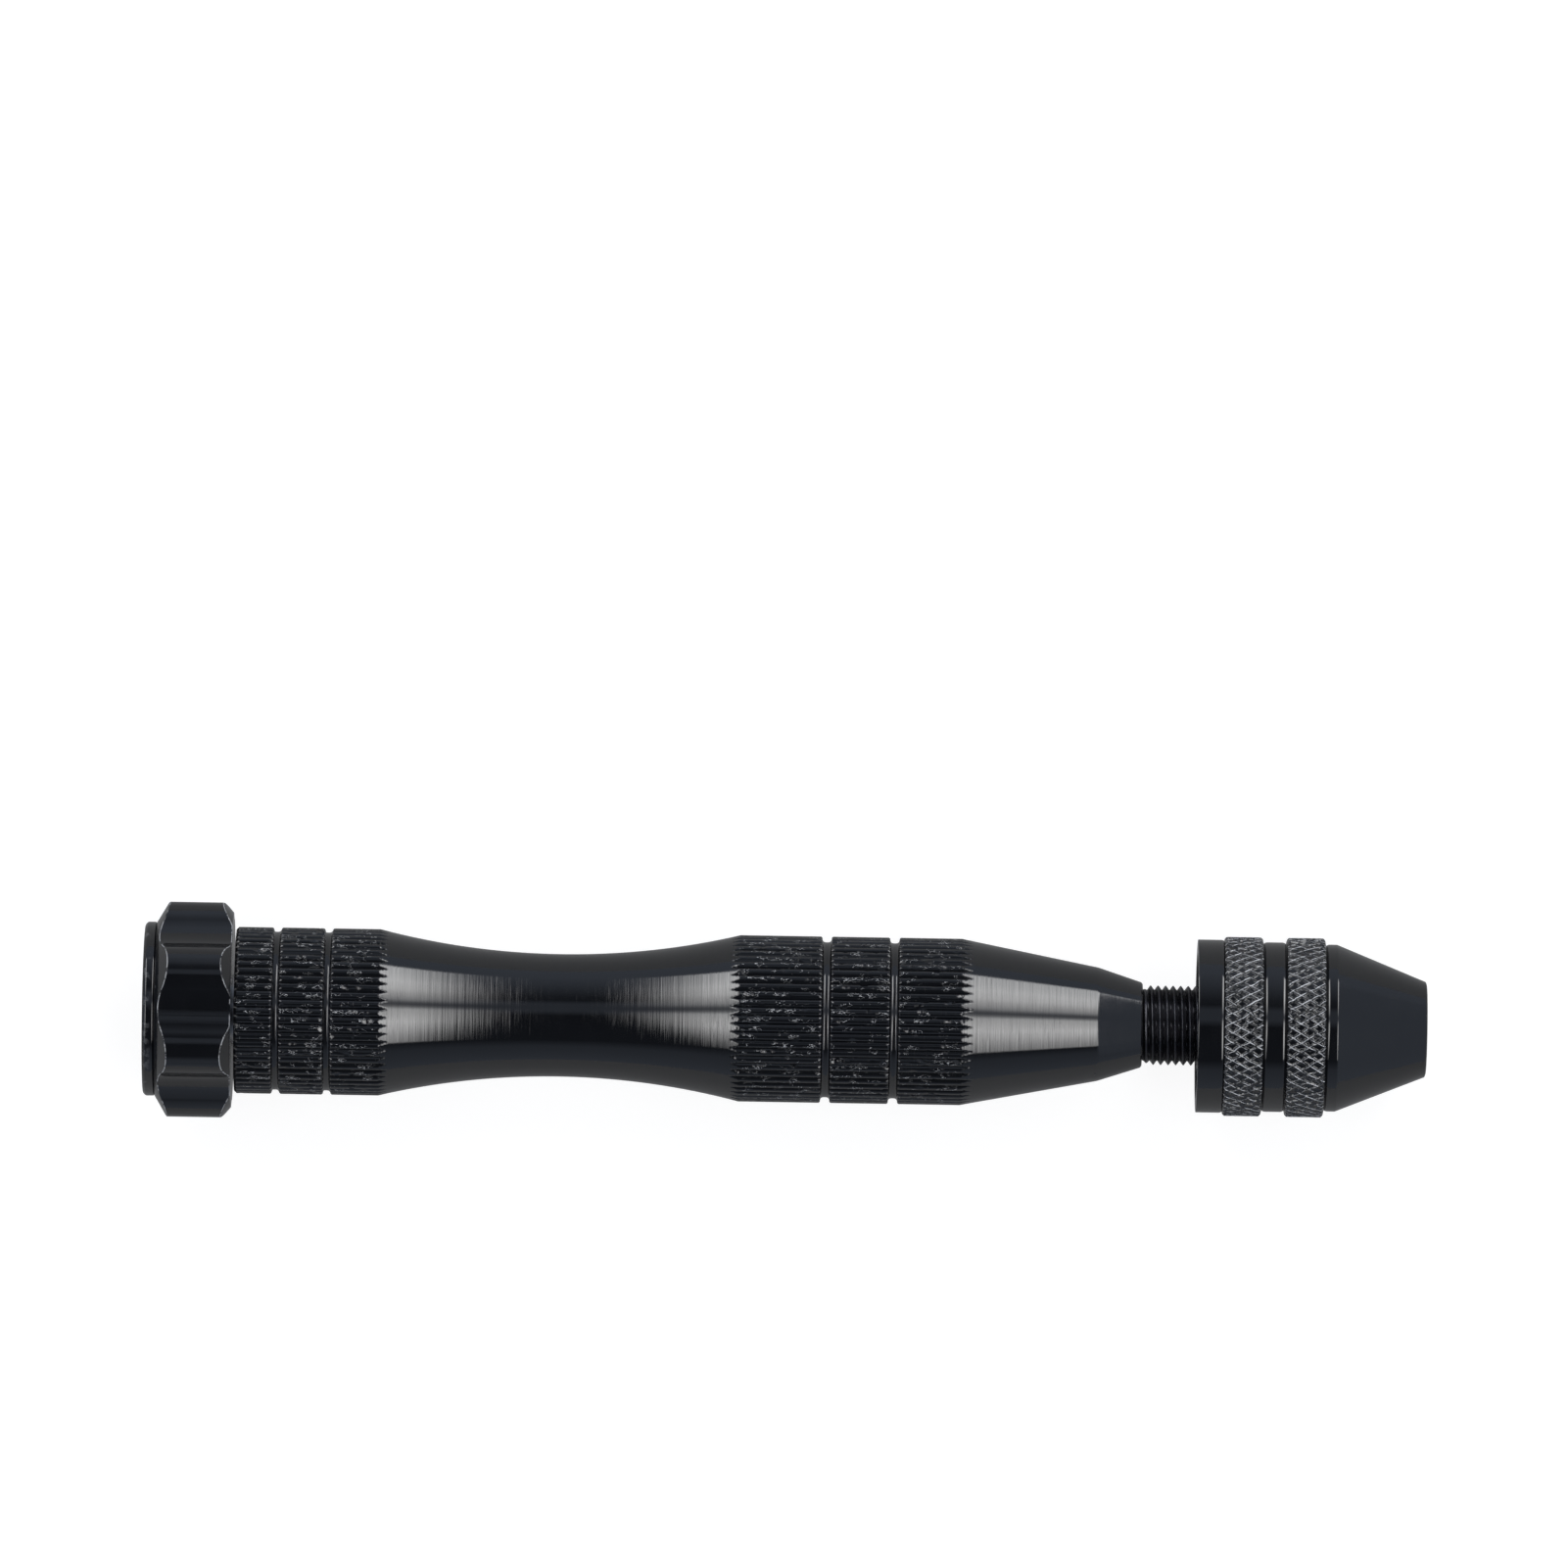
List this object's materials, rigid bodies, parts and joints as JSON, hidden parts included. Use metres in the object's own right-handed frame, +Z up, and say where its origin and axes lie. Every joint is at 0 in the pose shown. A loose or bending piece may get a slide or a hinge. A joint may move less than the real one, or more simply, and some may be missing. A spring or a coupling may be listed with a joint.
{
  "type": "pin vise hand drill",
  "caption": "Slim hand drill with a free-turning palm cap, a knurled waisted handle and a keyless three-jaw chuck for thin twist drills.",
  "frame": {"origin": "centre of the palm cap's end face, on the tool's axis", "axes": "+X along the tool's axis from the palm cap to the chuck's nose, +Z up"},
  "size_m": [0.1276, 0.0214, 0.021],
  "materials": {
    "black_anodised": "glossy black anodised, with fine turning marks",
    "black_steel": "blackened steel",
    "bright_steel": "turned bright steel",
    "bearing_steel": "polished bearing steel",
    "jaw_steel": "ground hardened steel",
    "brass_cage": "pressed brass"
  },
  "bodies": {
    "handle": {"handle_body": "black_anodised", "threaded_spindle": "black_steel", "spacer_bush": "bright_steel", "pivot_screw": "bright_steel", "pivot_washer": "bright_steel", "bearing_inner_ring": "bearing_steel"},
    "palm_cap": {"swivel_cap": "black_anodised", "cap_cover": "black_anodised", "bearing_outer_ring": "bearing_steel", "bearing_shield_rear": "bearing_steel", "bearing_shield_front": "bearing_steel", "cap_circlip": "black_steel"},
    "ball_cage": {"bearing_cage": "brass_cage", "bearing_balls": "bearing_steel"},
    "jaw_carrier": {"thrust_washer": "bright_steel", "jaw_spring_1": "bright_steel", "jaw_spring_2": "bright_steel", "jaw_spring_3": "bright_steel"},
    "chuck_shell": {"chuck_sleeve": "black_anodised", "thread_insert": "bright_steel"},
    "jaw_one": {"jaw_1": "jaw_steel"},
    "jaw_two": {"jaw_2": "jaw_steel"},
    "jaw_three": {"jaw_3": "jaw_steel"}
  },
  "joints": [
    {"name": "cap_swivel", "type": "hinge", "parent": "handle", "child": "palm_cap", "pos_m": [0.006, 0, 0], "axis": [1, 0, 0], "continuous": true},
    {"name": "cage_roll", "type": "hinge", "parent": "handle", "child": "ball_cage", "pos_m": [0.006, 0, 0], "axis": [1, 0, 0], "continuous": true},
    {"name": "chuck_turn", "type": "hinge", "parent": "handle", "child": "jaw_carrier", "pos_m": [0.1114, 0, 0], "axis": [1, 0, 0], "range_deg": [-1477, 761]},
    {"name": "chuck_advance", "type": "slide", "parent": "jaw_carrier", "child": "chuck_shell", "axis": [1, 0, 0], "range_m": [-0.00308, 0.00159]},
    {"name": "jaw_1_slide", "type": "slide", "parent": "jaw_carrier", "child": "jaw_one", "axis": [0, 0, 1], "range_m": [-0.00082, 0.00043], "deforming": ["jaw_spring_1"]},
    {"name": "jaw_2_slide", "type": "slide", "parent": "jaw_carrier", "child": "jaw_two", "axis": [0, -0.866, -0.5], "range_m": [-0.00082, 0.00043], "deforming": ["jaw_spring_2"]},
    {"name": "jaw_3_slide", "type": "slide", "parent": "jaw_carrier", "child": "jaw_three", "axis": [0, 0.866, -0.5], "range_m": [-0.00082, 0.00043], "deforming": ["jaw_spring_3"]}
  ],
  "couplings": [
    {"joint": "cage_roll", "follows": "cap_swivel", "ratio": 0.62308},
    {"joint": "chuck_advance", "follows": "chuck_turn", "m_per_rad": 0.00011937},
    {"joint": "jaw_1_slide", "follows": "chuck_turn", "m_per_rad": 0.000031984},
    {"joint": "jaw_2_slide", "follows": "chuck_turn", "m_per_rad": 0.000031984},
    {"joint": "jaw_3_slide", "follows": "chuck_turn", "m_per_rad": 0.000031984}
  ]
}
